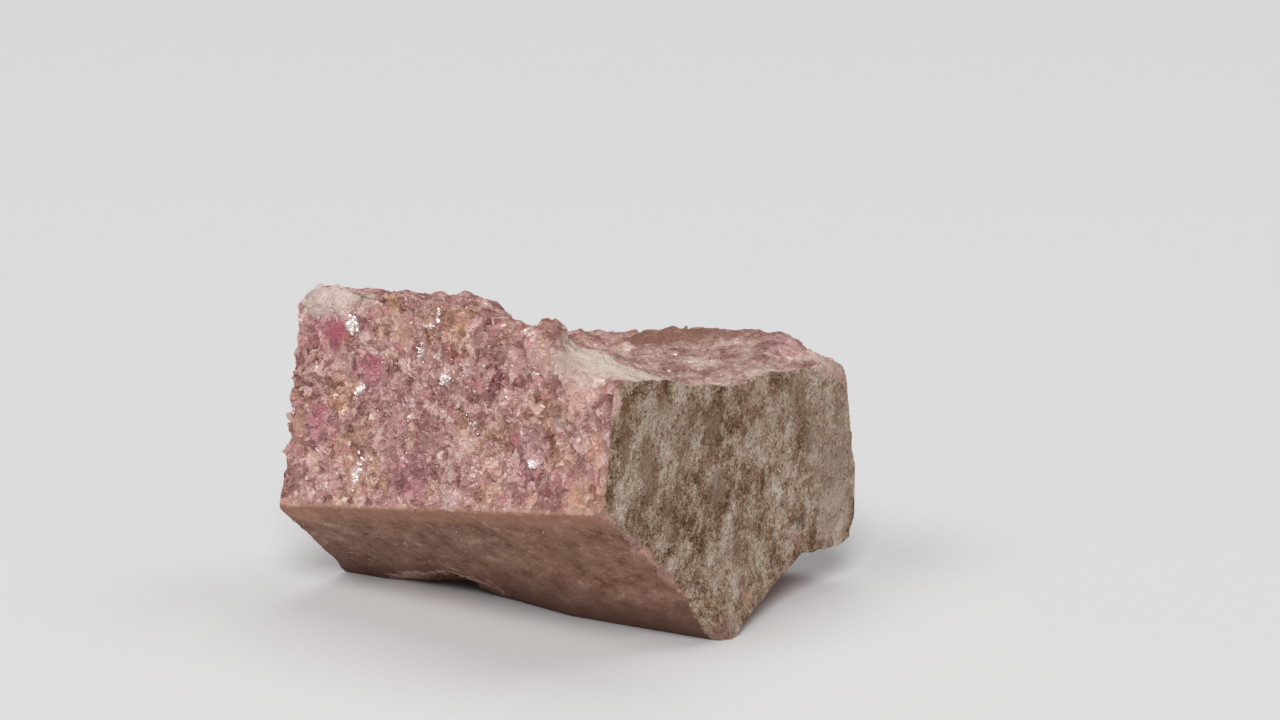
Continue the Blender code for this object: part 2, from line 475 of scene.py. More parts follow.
def surface_of(skin: bpy.types.Object) -> BVHTree:
    """The skin as a surface that can be searched, in mm."""
    places, _ = read_vertices(skin.data)
    return BVHTree.FromPolygons(places.tolist(), [list(p.vertices) for p in skin.data.polygons])


def settled(points: np.ndarray, surface: BVHTree, limits: np.ndarray) -> np.ndarray:
    """Small shapes with the corners pulled back that stand too far out, and none left in the air.

    Args:
        points: each shape's corners, in mm.
        surface: the stone's surface.
        limits: how far each shape may stand out, in mm.

    Returns:
        The corners after the move.
    """
    kept, least_root, root = 0.1, 0.02, 0.15  # share of a corner's excess, and depths in mm
    for shape, limit in zip(points, limits):
        heights = []
        for i, corner in enumerate(shape):
            foot, normal, _, _ = surface.find_nearest(corner)
            rise = Vector(corner) - foot
            heights.append((rise.dot(normal), i, foot - normal * root))
            if heights[-1][0] > 0.0 and rise.length > limit:
                shape[i] = foot + rise * (kept + (1.0 - kept) * limit / rise.length)
        lowest, i, below = min(heights)
        if lowest > -least_root:
            shape[i] = below
    return points


def join_copies(name: str, points: np.ndarray, faces: np.ndarray) -> bpy.types.Object:
    """Copies of one small shape as one object with flat faces.

    Args:
        name: the object's name.
        points: each copy's corners, in mm.
        faces: the triangles of one copy.

    Returns:
        The object.
    """
    copies, corners = points.shape[:2]
    firsts = np.arange(copies)[:, None, None] * corners
    ends = (faces[None] + firsts).reshape(-1).astype(np.int32)
    mesh = bpy.data.meshes.new(name)
    mesh.vertices.add(copies * corners)
    mesh.vertices.foreach_set("co", (points * MM).astype(np.float32).ravel())
    mesh.loops.add(len(ends))
    mesh.loops.foreach_set("vertex_index", ends)
    mesh.polygons.add(len(ends) // 3)
    mesh.polygons.foreach_set("loop_start", np.arange(0, len(ends), 3, dtype=np.int32))
    mesh.update(calc_edges=True)
    mesh.shade_flat()
    joined = bpy.data.objects.new(name, mesh)
    bpy.context.scene.collection.objects.link(joined)
    return joined


# How deep behind each joint face the crystals begin, in mm.
CRYSTAL_MARGINS = ((JOINT_FACE, 0.9), (UNDERCUT, 0.5), (CORNER_BEVEL, 0.4))
PATCH_PRIMES = (73856093, 19349663, 83492791)  # they spread a patch's three numbers over a table


@dataclass(frozen=True)
class Crystals:
    """Sugary cleaved crystals that stand out of the breaks, joined into one mesh.

    Attributes:
        name: the piece's name.
        count: how many there are.
        width: their middle width, in mm.
        sunk: how deep their middles lie under the surface, as a share of the width.
        seed: of the random draws.
        rise: how high they may stand out, as a share of the width.
        calm: how much of that is lost where the stone is worn, as a share.
        variety: the spread of their bulks, as a share.
        proportions: the least and the most that a side may be of its crystal's middle width.
        slant: how far they are sheared.
        domain: width of the patches whose crystals lie alike, in mm.
        jitter: how far a crystal turns away from its patch.
        crowd: width of the places where the crystals crowd together, in mm.
    """

    name: str
    count: int
    width: float
    sunk: float
    seed: int
    rise: float = 0.3
    calm: float = 0.7
    variety: float = 0.25
    proportions: tuple[float, float] = (0.6, 1.3)
    slant: float = 0.22
    domain: float = 2.2
    jitter: float = 0.35
    crowd: float = 2.8

    def build(self, skin: bpy.types.Object, surface: BVHTree) -> bpy.types.Object:
        """Models one crystal and sets its copies into the breaks.

        Args:
            skin: the stone's skin.
            surface: the same skin, to be searched.

        Returns:
            The joined object, with its places in its mesh.
        """
        bpy.ops.object.select_all(action="DESELECT")
        bpy.ops.mesh.primitive_cube_add(size=1.0)
        crystal = bpy.context.object
        corners, faces = shape_of(crystal)
        rng = np.random.default_rng(self.seed)
        seats, normals = self.seats(skin, rng)
        lie = self.lie(seats, rng)
        bulk = np.exp(np.clip(rng.normal(0.0, self.variety, (self.count, 1)), -0.5, 0.4))
        sizes = self.width * bulk * rng.uniform(*self.proportions, (self.count, 3))
        shear = np.eye(3) + rng.normal(0.0, self.slant, (self.count, 3, 3))
        points = np.einsum("nij,njl,nkl->nki", lie, shear, corners[None] * sizes[:, None, :])
        points -= normals[:, None, :] * (self.sunk * sizes.mean(axis=1))[:, None, None]
        limits = self.rise * self.width * (1.0 - self.calm * calmness(normals))
        points = boxed(settled(points + seats[:, None, :], surface, limits))
        crystals = join_copies(self.name, points, faces)
        keep_seats(crystals.data, np.repeat(seats, len(corners), axis=0), np.ones(points[..., 0].size))
        return crystals

    def seats(self, skin: bpy.types.Object, rng: np.random.Generator) -> tuple[np.ndarray, np.ndarray]:
        """Draws places on the breaks, few of them where the stone is worn or crusted.

        Args:
            skin: the stone's skin.
            rng: for the random draws.

        Returns:
            The places in mm, and the surface's normals there.
        """
        mesh = skin.data
        mesh.calc_loop_triangles()
        ends = np.empty(len(mesh.loop_triangles) * 3, np.int32)
        mesh.loop_triangles.foreach_get("vertices", ends)
        places, _ = read_vertices(mesh)
        tri = places[ends.reshape(-1, 3)]
        across = np.cross(tri[:, 1] - tri[:, 0], tri[:, 2] - tri[:, 0])
        area = np.linalg.norm(across, axis=1)
        middles = tri.mean(axis=1)
        bare = area.copy()
        for joint, margin in CRYSTAL_MARGINS:
            bare *= ramp(joint.depth_of(middles), margin, 0.6)
        for centre, radius, _ in CRUST_SPOTS:
            away = np.linalg.norm(middles - centre, axis=1)
            bare *= np.maximum(ramp(away, 0.7 * radius, 0.5 * radius), 0.04)
        face = across / np.maximum(area, 1e-9)[:, None]
        on_top, elsewhere = 0.35, 0.5  # how close they lie there, against the pink face
        side = np.where(face[:, 2] > 0.75, on_top, elsewhere)
        bare *= np.where(face @ PINK_FACE.normal > 0.6, 1.0, side)
        patchy = np.array([noise.noise(Vector(middle) / self.crowd) for middle in middles])
        bare *= np.clip(0.7 + 1.6 * patchy, 0.15, 1.5)
        picked = rng.choice(len(tri), self.count, p=bare / bare.sum())
        share = rng.dirichlet((1.0, 1.0, 1.0), self.count)
        seats = np.einsum("nk,nkj->nj", share, tri[picked])
        return seats, across[picked] / np.maximum(area[picked], 1e-9)[:, None]

    def lie(self, seats: np.ndarray, rng: np.random.Generator) -> np.ndarray:
        """Draws how each crystal is turned: much as its neighbours in its patch.

        Args:
            seats: the crystals' places, in mm.
            rng: for the random draws.

        Returns:
            A rotation matrix for each crystal.
        """
        table = rng.normal(size=(512, 4))
        cells = np.floor(seats / self.domain + rng.normal(0.0, 0.18, seats.shape)).astype(np.int64)
        patch = (cells * PATCH_PRIMES).sum(axis=1) % len(table)
        return turns(table[patch] + self.jitter * rng.normal(size=(self.count, 4)))


@dataclass(frozen=True)
class Flakes:
    """A cluster of cleavage plates that catch the light.

    centre, spread (its width and height) and width (of one plate) are in mm.
    """

    centre: Place
    count: int
    spread: tuple[float, float]
    width: float = 0.45


@dataclass
class CleavageFlakes:
    """All the bright cleavage plates, joined into one mesh.

    Attributes:
        clusters: where they lie.
        thickness: of a plate, in mm.
        proportions: the least and the most that a side may be of its cluster's width.
        lift: how far a plate's middle lies above the skin, in mm.
        rise: how high a corner may stand out, in mm.
        glint_rise: how steeply the plates face upwards, in degrees.
        sway: how far a plate turns away from that.
        seed: of the random draws.
        colour: sRGB hex, near white: pale cleavage, and partly a painted glint so that the plates look bright
            where they catch no lamp.
        roughness: of their faces.
        refraction: their index of refraction.
    """

    clusters: tuple[Flakes, ...] = (
        Flakes((-29.6, 2.8, 40.0), 46, (0.5, 1.3)),
        Flakes((-18.4, -5.3, 42.3), 12, (0.5, 0.4), 0.38),
        Flakes((-17.4, -5.8, 43.7), 16, (0.35, 0.8), 0.38),
        Flakes((-20.2, -4.5, 38.6), 14, (0.4, 0.9), 0.34),
        Flakes((-16.7, -8.0, 35.7), 22, (0.8, 0.8), 0.34),
        Flakes((-28.6, 0.7, 31.9), 30, (0.9, 0.6), 0.4),
        Flakes((-29.2, -1.8, 20.5), 46, (0.5, 1.7)),
        Flakes((-4.1, -19.8, 27.1), 22, (0.6, 0.5), 0.42),
        Flakes((-12.6, -12.2, 30.3), 10, (0.5, 0.5), 0.3),
        Flakes((-23.0, -6.5, 24.0), 8, (1.2, 0.8), 0.26),
        Flakes((14.9, 10.4, 34.1), 5, (0.35, 0.3), 0.26),
        Flakes((13.9, -0.1, 34.6), 5, (0.3, 0.3), 0.28),
        Flakes((-19.0, -7.0, 35.5), 150, (15.0, 7.5), 0.17),
        Flakes((-14.5, -9.5, 25.0), 110, (15.0, 6.0), 0.15),
    )
    thickness: float = 0.30
    proportions: tuple[float, float] = (0.5, 1.4)
    lift: float = 0.03
    rise: float = 0.28
    glint_rise: float = 29.0
    sway: float = 0.16
    seed: int = 5
    # near white: pale cleavage and partly a painted glint
    colour: str = "EFE3E0"
    roughness: float = 0.22
    refraction: float = 1.73

    def build(self, surface: BVHTree) -> bpy.types.Object:
        """Models one plate and sets its copies on the skin.

        Args:
            surface: the stone's surface.

        Returns:
            The joined object, with its places in its mesh.
        """
        bpy.ops.object.select_all(action="DESELECT")
        bpy.ops.mesh.primitive_cylinder_add(vertices=6, radius=0.5, depth=1.0)
        plate = bpy.context.object
        corners, faces = shape_of(plate)
        rng = np.random.default_rng(self.seed)
        glint = Vector(direction(0.0, self.glint_rise))
        points = []
        for cluster in self.clusters:
            for _ in range(cluster.count):
                along, up = rng.normal(0.0, 0.6, 2) * cluster.spread
                aim = Vector(cluster.centre) + PINK_FACE.along * along + Vector((0.0, 0.0, up))
                seat, normal, _, _ = surface.find_nearest(aim)
                lean = (glint + Vector(rng.normal(0.0, self.sway, 3))).normalized()
                turn = np.array(lean.to_track_quat("Z", "X").to_matrix())
                size = cluster.width * rng.uniform(*self.proportions, 2)
                shape = corners * (size[0], size[1], self.thickness)
                points.append(shape @ turn.T + np.array(seat + normal * self.lift))
        points = settled(np.array(points), surface, np.full(len(points), self.rise))
        return join_copies("cleavage_flakes", boxed(points), faces)

    def finish(self) -> bpy.types.Material:
        """Clean cleavage of rhodonite: pale, smooth and painted bright as a partial glint, with a high
        refractive index.

        Returns:
            The flakes' material.
        """
        material = bpy.data.materials.new("cleaved_rhodonite")
        material.use_nodes = True
        shader = material.node_tree.nodes["Principled BSDF"]
        shader.inputs["Base Color"].default_value = linear(self.colour)
        shader.inputs["Roughness"].default_value = self.roughness
        shader.inputs["IOR"].default_value = self.refraction
        return material


CRYSTALS = (
    Crystals("coarse_crystals", 6_000, 0.66, sunk=0.42, seed=11),
    Crystals("sugary_crystals", 14_000, 0.42, sunk=0.32, seed=12),
    Crystals("fine_crystals", 15_000, 0.28, sunk=0.20, seed=13),
)


# ---- finishes


def linear(hex_colour: str, alpha: float = 1.0) -> tuple[float, float, float, float]:
    """An sRGB hex colour as linear RGBA.

    Args:
        hex_colour: six hex digits.
        alpha: the fourth value.

    Returns:
        Red, green, blue and alpha.
    """
    parts = [int(hex_colour[i : i + 2], 16) / 255.0 for i in (0, 2, 4)]
    turned = [p / 12.92 if p <= 0.04045 else ((p + 0.055) / 1.055) ** 2.4 for p in parts]
    return (turned[0], turned[1], turned[2], alpha)


class Mineral(Enum):
    """What shows in single spots on the stone, by its colour, and one painted glint."""

    HOT_PINK = "BE6072"
    ROSE = "CF8F96"
    LILAC = "DCAEB2"
    DARK_RED = "8A4A4A"
    OCHRE = "B98A66"
    PEACH = "E3B39C"
    ORANGE_RED = "B47560"
    CREAM = "F0D6CB"
    PALE_PINK = "EBC3B8"
    # a painted highlight, not a mineral: near-white spots where the cleavage flakes glint
    WHITE = "F6ECE8"
    BROWN = "845A40"
    OLIVE_BROWN = "876A54"
    GREY_BROWN = "8B7360"
    PALE_GREY = "C4B3A2"
    RED_BROWN = "966759"
    MAUVE = "A67C74"
    BLACK_BROWN = "42342C"


@dataclass(frozen=True)
class Spot:
    """A patch of one mineral round a place on the surface.

    Attributes:
        mineral: what shows there.
        centre: the place, in mm.
        radius: half the patch's width, in mm.
        strength: how far it covers what lies under it, from 0 to 1.
        tall: its height against its width.
        veil: whether it only stains the grains, which keep their light and dark.
        ragged: how uneven its outline is.
    """

    mineral: Mineral
    centre: Place
    radius: float
    strength: float = 0.7
    tall: float = 1.0
    veil: bool = False
    ragged: float = 1.0


@dataclass(frozen=True)
class Grained:
    """A granular finish: patches of tone, broken into grains, each tone with its colour.

    Attributes:
        patch: width of the patches, in mm.
        contrast: how strongly the patches differ.
        fineness: how strong each finer size of patch is against the one above it.
        grain: how strongly single grains differ.
        stops: tone and sRGB hex pairs, from dark to pale.
        crystal: how strongly the larger crystals differ.
        dust: how strong the finest speckle is.
        turn: rotation of the patches, in degrees about X, Y and Z.
        stretch: how many times longer the patches are along each turned axis.
        shift: moves the patches, in mm, so that two finishes don't share theirs.
    """

    patch: float
    contrast: float
    fineness: float
    grain: float
    stops: tuple[tuple[float, str], ...]
    crystal: float = 0.0
    dust: float = 0.0
    turn: Place = (0.0, 0.0, 0.0)
    stretch: Place = (1.0, 1.0, 1.0)
    shift: Place = (0.0, 0.0, 0.0)


# Sugary rhodonite rock, freshly broken: translucent rose grains with pale and brown ones between.
FRESH_BREAK = Grained(
    patch=3.0,
    contrast=0.9,
    fineness=0.82,
    grain=0.32,
    crystal=0.42,
    stops=(
        (0.00, "653A36"), (0.20, "8E5B56"), (0.40, "AF7F79"), (0.56, "C49790"),
        (0.71, "D6AEA6"), (0.86, "E7C8C1"), (1.00, "FAEAE6"),
    ),
)
# The same rock stained by iron.
STAINED_BREAK = Grained(
    patch=2.6,
    contrast=0.9,
    fineness=0.82,
    grain=0.32,
    crystal=0.36,
    stops=(
        (0.00, "643E2E"), (0.18, "92624E"), (0.38, "B58672"),
        (0.55, "CB9E8A"), (0.75, "DEB8A5"), (1.00, "F4E0D2"),
    ),
    shift=(31.0, 7.0, 12.0),
)
# An old joint, weathered to a matte grey-beige rind with brown iron patches.
GREY_RIND = Grained(
    patch=3.0,
    contrast=1.22,
    fineness=0.66,
    grain=0.42,
    dust=0.55,
    stops=(
        (0.00, "5C4029"), (0.22, "80614A"), (0.40, "9A7D66"),
        (0.53, "AF9781"), (0.74, "C2AF9D"), (1.00, "DCCFC0"),
    ),
    turn=(0.0, 14.0, 50.0),
    stretch=(1.0, 1.0, 1.3),
)
# A smoother joint with a thin peach-brown rind.
PEACH_RIND = Grained(
    patch=3.0,
    contrast=1.05,
    fineness=0.76,
    grain=0.2,
    dust=0.16,
    stops=(
        (0.00, "6D4A3D"), (0.30, "8F6857"), (0.50, "A07867"),
        (0.70, "B08978"), (1.00, "CFAC9A"),
    ),
    turn=(0.0, 32.0, -26.0),
)
# The bevel between them: pale pink grains with little stain.
PALE_BEVEL = Grained(
    patch=2.8,
    contrast=0.8,
    fineness=0.78,
    grain=0.25,
    crystal=0.25,
    stops=(
        (0.00, "8E5C4B"), (0.27, "B1826D"), (0.53, "C59983"),
        (0.78, "D9B2A0"), (1.00, "F0D7C9"),
    ),
    stretch=(1.0, 1.0, 1.8),
)
# Powdery weathered crust on the saddle and the top corner.
PALE_CRUST = Grained(
    patch=2.4,
    contrast=0.4,
    fineness=0.78,
    grain=0.15,
    dust=0.10,
    stops=(
        (0.00, "CCB4A6"), (0.30, "DDCABC"), (0.55, "E6D6C9"),
        (0.80, "EEE0D5"), (1.00, "F5ECE3"),
    ),
)
# The saddle's floor: mauve rock with pale flaky streaks.
MAUVE_BREAK = Grained(
    patch=3.4,
    contrast=1.15,
    fineness=0.72,
    grain=0.25,
    crystal=0.2,
    stops=(
        (0.00, "7A5048"), (0.25, "A2766C"), (0.45, "B99489"),
        (0.60, "C9A89C"), (0.78, "D8BDB1"), (1.00, "EBD6CB"),
    ),
    shift=(9.0, 3.0, 5.0),
)

PINK_SPOTS = (
    Spot(Mineral.ROSE, (-34.0, 6.3, 38.6), 3.4, 0.55, veil=True),
    Spot(Mineral.HOT_PINK, (-32.1, 4.7, 39.3), 2.3, 0.85, ragged=0.45),
    Spot(Mineral.HOT_PINK, (-26.8, -0.1, 34.9), 2.1, 0.6),
    Spot(Mineral.ROSE, (-27.5, 0.3, 33.8), 2.8, 0.6, veil=True),
    Spot(Mineral.OCHRE, (-23.8, -0.9, 44.4), 1.7, 0.7),
    Spot(Mineral.PEACH, (-22.4, -2.8, 40.6), 1.9, 0.5, tall=1.4),
    # painted highlights: near-white spots under the cleavage flakes, where they glint
    Spot(Mineral.WHITE, (-20.2, -4.5, 38.6), 0.8, 0.6, tall=1.6),
    Spot(Mineral.WHITE, (-16.7, -8.0, 35.7), 1.1, 0.6),
    Spot(Mineral.WHITE, (-29.5, 2.7, 39.8), 0.9, 0.6, tall=1.6),
    Spot(Mineral.WHITE, (-28.6, 0.7, 31.9), 1.0, 0.5),
    Spot(Mineral.WHITE, (-29.3, -1.7, 20.6), 0.9, 0.65, tall=2.1),
    Spot(Mineral.WHITE, (-4.1, -19.8, 27.3), 0.9, 0.5),
    Spot(Mineral.OCHRE, (-31.4, 1.8, 30.6), 2.8, 0.45, veil=True),
    Spot(Mineral.DARK_RED, (-22.6, -6.7, 20.7), 1.0, 0.8, ragged=0.4),
    Spot(Mineral.DARK_RED, (-19.8, -8.5, 21.0), 0.75, 0.75, ragged=0.4),
    Spot(Mineral.ROSE, (-21.5, -7.0, 22.0), 3.6, 0.55, veil=True),
    Spot(Mineral.HOT_PINK, (-6.6, -16.6, 29.5), 0.9, 0.7, ragged=0.5),
    Spot(Mineral.LILAC, (-4.5, -19.2, 29.4), 2.9, 0.6, veil=True),
    Spot(Mineral.ROSE, (-5.4, -18.8, 25.6), 2.4, 0.55, veil=True),
    Spot(Mineral.DARK_RED, (-7.3, -17.3, 25.7), 0.7, 0.6, ragged=0.4),
    Spot(Mineral.DARK_RED, (-4.2, -19.9, 26.2), 0.5, 0.8, ragged=0.4),
    Spot(Mineral.PEACH, (-4.3, -20.7, 22.7), 1.1, 0.7),
    Spot(Mineral.PEACH, (1.1, -24.5, 23.7), 1.8, 0.6),
    Spot(Mineral.PEACH, (3.9, -24.9, 31.0), 1.9, 0.5, tall=1.3),
    Spot(Mineral.ORANGE_RED, (3.9, -25.4, 29.7), 0.7, 0.7),
    Spot(Mineral.PALE_PINK, (-3.3, -18.3, 41.6), 2.8, 0.55),
    Spot(Mineral.PALE_PINK, (-6.5, -15.5, 39.8), 1.7, 0.5, tall=1.3),
    Spot(Mineral.OCHRE, (-1.9, -19.0, 41.6), 0.6, 0.5),
    Spot(Mineral.RED_BROWN, (-1.4, -17.0, 44.6), 2.2, 0.6),
    Spot(Mineral.GREY_BROWN, (-1.0, -20.4, 33.8), 1.3, 0.45, tall=1.7),
    Spot(Mineral.PALE_PINK, (2.8, -22.0, 37.6), 3.2, 0.6, tall=1.3),
    Spot(Mineral.OCHRE, (-14.7, -8.8, 41.2), 3.2, 0.3, veil=True),
    Spot(Mineral.MAUVE, (-18.4, -8.6, 26.9), 2.1, 0.5),
    Spot(Mineral.CREAM, (-13.5, -12.2, 28.0), 1.7, 0.4),
    Spot(Mineral.CREAM, (-16.0, -12.5, 20.7), 2.6, 0.4, tall=0.45),
    Spot(Mineral.PEACH, (-37.7, 5.6, 25.0), 1.3, 0.4, tall=2.2),
    Spot(Mineral.PALE_PINK, (-29.2, -1.8, 20.5), 1.5, 0.4, tall=1.4),
    Spot(Mineral.DARK_RED, (-15.2, -9.1, 38.1), 0.5, 0.8, ragged=0.4),
    Spot(Mineral.DARK_RED, (-15.0, -9.4, 35.6), 0.45, 0.8, ragged=0.4),
    Spot(Mineral.DARK_RED, (-24.2, -2.2, 34.8), 0.65, 0.7, ragged=0.4),
    Spot(Mineral.DARK_RED, (-6.1, -15.3, 42.2), 0.9, 0.55, tall=0.7, ragged=0.4),
    Spot(Mineral.HOT_PINK, (-35.1, 3.7, 27.0), 1.8, 0.55),
    Spot(Mineral.ROSE, (-34.6, 3.2, 25.4), 3.0, 0.5, veil=True),
)
GREY_SPOTS = (
    Spot(Mineral.BROWN, (8.1, -25.3, 36.4), 0.95, 0.75, tall=1.3),
    Spot(Mineral.OLIVE_BROWN, (8.0, -25.5, 31.8), 1.0, 0.6, tall=4.5),
    Spot(Mineral.OLIVE_BROWN, (10.9, -22.1, 27.5), 2.0, 0.6, tall=2.6),
    Spot(Mineral.BROWN, (12.7, -19.6, 36.6), 0.9, 0.5, tall=1.7),
    Spot(Mineral.GREY_BROWN, (19.7, -11.7, 30.3), 1.6, 0.6, tall=1.4),
    Spot(Mineral.GREY_BROWN, (20.3, -11.3, 21.2), 1.6, 0.65, tall=1.8),
    Spot(Mineral.OLIVE_BROWN, (13.4, -19.0, 19.5), 1.4, 0.5, tall=2.4),
    Spot(Mineral.BROWN, (25.2, -4.8, 31.3), 2.2, 0.4, tall=1.3),
    Spot(Mineral.BROWN, (31.2, 2.3, 31.2), 2.1, 0.4, tall=1.4),
    Spot(Mineral.GREY_BROWN, (37.4, 9.1, 19.4), 2.6, 0.6, tall=0.6),
    Spot(Mineral.PALE_GREY, (16.0, -16.1, 29.0), 4.2, 0.15, tall=1.3),
    Spot(Mineral.PALE_GREY, (12.0, -20.2, 34.4), 3.0, 0.20, tall=0.9),
    Spot(Mineral.PALE_GREY, (37.0, 8.6, 21.0), 6.0, 0.30, tall=1.5),
    Spot(Mineral.PALE_GREY, (22.9, -8.7, 10.5), 5.0, 0.15, tall=1.1),
    Spot(Mineral.PALE_GREY, (36.8, 8.6, 11.5), 4.2, 0.45),
    Spot(Mineral.PALE_GREY, (30.5, 1.4, 28.5), 6.0, 0.15, tall=0.8),
    Spot(Mineral.MAUVE, (20.2, -11.8, 1.4), 3.0, 0.6, tall=0.8),
    Spot(Mineral.PALE_PINK, (19.0, -12.8, 2.6), 1.0, 0.5),
    Spot(Mineral.PEACH, (23.8, -7.6, 3.4), 1.6, 0.45, tall=1.6),
    Spot(Mineral.PALE_PINK, (35.0, 8.6, 33.2), 2.8, 0.5, tall=0.7),
    Spot(Mineral.PALE_PINK, (6.7, -26.8, 37.8), 1.2, 0.8, tall=1.8),
    Spot(Mineral.PALE_PINK, (38.6, 11.0, 31.2), 2.0, 0.45, tall=0.9),
    Spot(Mineral.BLACK_BROWN, (17.4, -14.5, 20.8), 0.22, 0.8),
    Spot(Mineral.BLACK_BROWN, (26.7, -4.3, 14.4), 0.35, 0.7),
    Spot(Mineral.BLACK_BROWN, (30.9, 1.3, 17.8), 0.22, 0.8),
    Spot(Mineral.BLACK_BROWN, (24.8, -6.2, 17.5), 0.6, 0.45),
    Spot(Mineral.BLACK_BROWN, (19.3, -12.3, 25.3), 0.2, 0.7),
    Spot(Mineral.BLACK_BROWN, (32.3, 2.8, 12.0), 1.2, 0.5, tall=0.8),
    Spot(Mineral.BLACK_BROWN, (18.2, -14.6, 7.7), 0.5, 0.65, tall=2.2),
    Spot(Mineral.BLACK_BROWN, (25.2, -6.4, 3.6), 0.4, 0.5, tall=2.0),
    Spot(Mineral.DARK_RED, (6.7, -26.4, 20.4), 0.8, 0.7, tall=1.3),
    Spot(Mineral.BLACK_BROWN, (4.6, -26.0, 27.8), 0.28, 0.7),
    Spot(Mineral.BLACK_BROWN, (6.2, -26.9, 28.2), 0.28, 0.7),
    Spot(Mineral.BLACK_BROWN, (7.4, -26.3, 28.9), 0.22, 0.7),
)
UNDERCUT_SPOTS = (
    Spot(Mineral.GREY_BROWN, (-14.0, 6.0, 1.0), 7.0, 0.35, tall=0.5),
    Spot(Mineral.PEACH, (-37.0, 4.2, 12.9), 3.0, 0.35, tall=0.8),
    Spot(Mineral.BLACK_BROWN, (-28.1, 4.5, 7.8), 0.60, 0.8, tall=0.8, ragged=0.8),
    Spot(Mineral.BLACK_BROWN, (-27.2, 5.4, 6.8), 0.45, 0.8, tall=0.8, ragged=0.8),
    Spot(Mineral.BLACK_BROWN, (-28.9, 8.5, 4.6), 0.60, 0.7, tall=0.8, ragged=0.8),
    Spot(Mineral.BLACK_BROWN, (-28.4, 2.0, 10.4), 0.40, 0.8, tall=0.8, ragged=0.8),
    Spot(Mineral.GREY_BROWN, (-27.4, 4.8, 7.6), 2.0, 0.35, tall=1.4),
    Spot(Mineral.MAUVE, (18.6, -12.6, 1.6), 3.0, 0.5, tall=0.7),
)
TOP_SPOTS = (
    # the back rim's red-brown colour, darkened partly as painted shade on the wall that faces the front
    Spot(Mineral.RED_BROWN, (-0.5, 18.5, 34.5), 3.4, 0.8, tall=1.5, ragged=0.6),
    Spot(Mineral.RED_BROWN, (4.5, 19.0, 34.0), 3.6, 0.85, tall=1.5, ragged=0.6),
    Spot(Mineral.RED_BROWN, (10.0, 20.0, 34.5), 4.2, 0.92, tall=1.5, ragged=0.6),
    Spot(Mineral.RED_BROWN, (16.5, 20.0, 35.3), 4.4, 0.92, tall=1.5, ragged=0.6),
    Spot(Mineral.RED_BROWN, (23.0, 19.0, 35.3), 3.6, 0.8, tall=1.5, ragged=0.6),
    Spot(Mineral.MAUVE, (25.0, 7.5, 34.7), 2.0, 0.4),
    Spot(Mineral.ROSE, (30.2, 11.0, 34.5), 3.4, 0.45, veil=True),
    Spot(Mineral.MAUVE, (15.5, 2.3, 35.1), 2.0, 0.45),
    Spot(Mineral.CREAM, (36.6, 11.2, 32.9), 3.2, 0.35),
    Spot(Mineral.BLACK_BROWN, (28.8, 12.0, 34.6), 0.25, 0.8),
)
CRUST_SPOTS = (  # centre and radius in mm, and how thick the powder lies
    ((1.8, -15.6, 41.8), 3.2, 0.85),
    ((5.2, -17.4, 40.9), 4.3, 0.95),
    ((8.6, -19.4, 39.7), 4.0, 0.95),
    ((11.6, -18.0, 38.4), 3.8, 0.95),
    ((14.4, -14.2, 36.9), 3.0, 0.95),
    ((17.2, -10.2, 35.6), 2.8, 0.65),
    ((21.0, -6.8, 35.2), 2.4, 0.45),
    ((10.0, -20.8, 39.2), 3.2, 0.90),
    ((1.0, -18.4, 40.9), 2.8, 0.60),
    ((4.4, -20.8, 39.6), 3.0, 0.70),
    ((-35.4, 7.4, 43.0), 3.0, 0.70),
    ((-32.0, 5.6, 44.0), 3.2, 0.85),
    ((-28.4, 3.8, 44.8), 2.6, 0.70),
)


